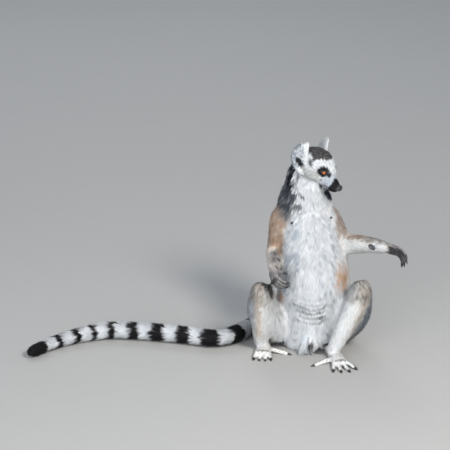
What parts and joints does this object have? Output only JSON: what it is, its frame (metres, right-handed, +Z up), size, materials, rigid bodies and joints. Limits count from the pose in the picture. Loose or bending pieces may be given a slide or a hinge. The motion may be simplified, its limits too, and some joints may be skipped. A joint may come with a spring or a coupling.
{
  "type": "ring-tailed lemur",
  "caption": "Ring-tailed lemur sitting upright on its rump, one forearm held out, head turned to its left, ringed tail along the floor.",
  "frame": {"origin": "middle of the flat under the rump, on the floor", "axes": "+Z up, the belly faces -Y, the animal's own left side is +X, the tail lies towards -X"},
  "size_m": [0.6549, 0.2164, 0.3772],
  "materials": {
    "white_coat": "soft short fur, white",
    "grey_coat": "soft short fur, grey brown",
    "ringed_coat": "dense fur in black and white rings",
    "bare_skin": "fine grained dark bare skin",
    "nose_pad": "moist and black",
    "eye": "wet and clear over an amber iris"
  },
  "bodies": {
    "root": {"trunk": "white_coat", "right_eye": "eye", "left_eye": "eye", "nose": "nose_pad", "head": "white_coat", "neck": "white_coat", "right_ear": "white_coat", "left_ear": "white_coat", "right_hand": "bare_skin", "left_hand": "bare_skin", "right_foot": "bare_skin", "left_foot": "bare_skin", "right_forearm": "grey_coat", "left_forearm": "grey_coat", "right_upper_arm": "grey_coat", "left_upper_arm": "grey_coat", "right_thigh": "grey_coat", "left_thigh": "grey_coat", "right_shank": "white_coat", "left_shank": "white_coat", "tail_1": "ringed_coat", "tail_2": "ringed_coat", "tail_3": "ringed_coat", "tail_4": "ringed_coat", "tail_5": "ringed_coat", "tail_6": "ringed_coat"}
  },
  "joints": []
}
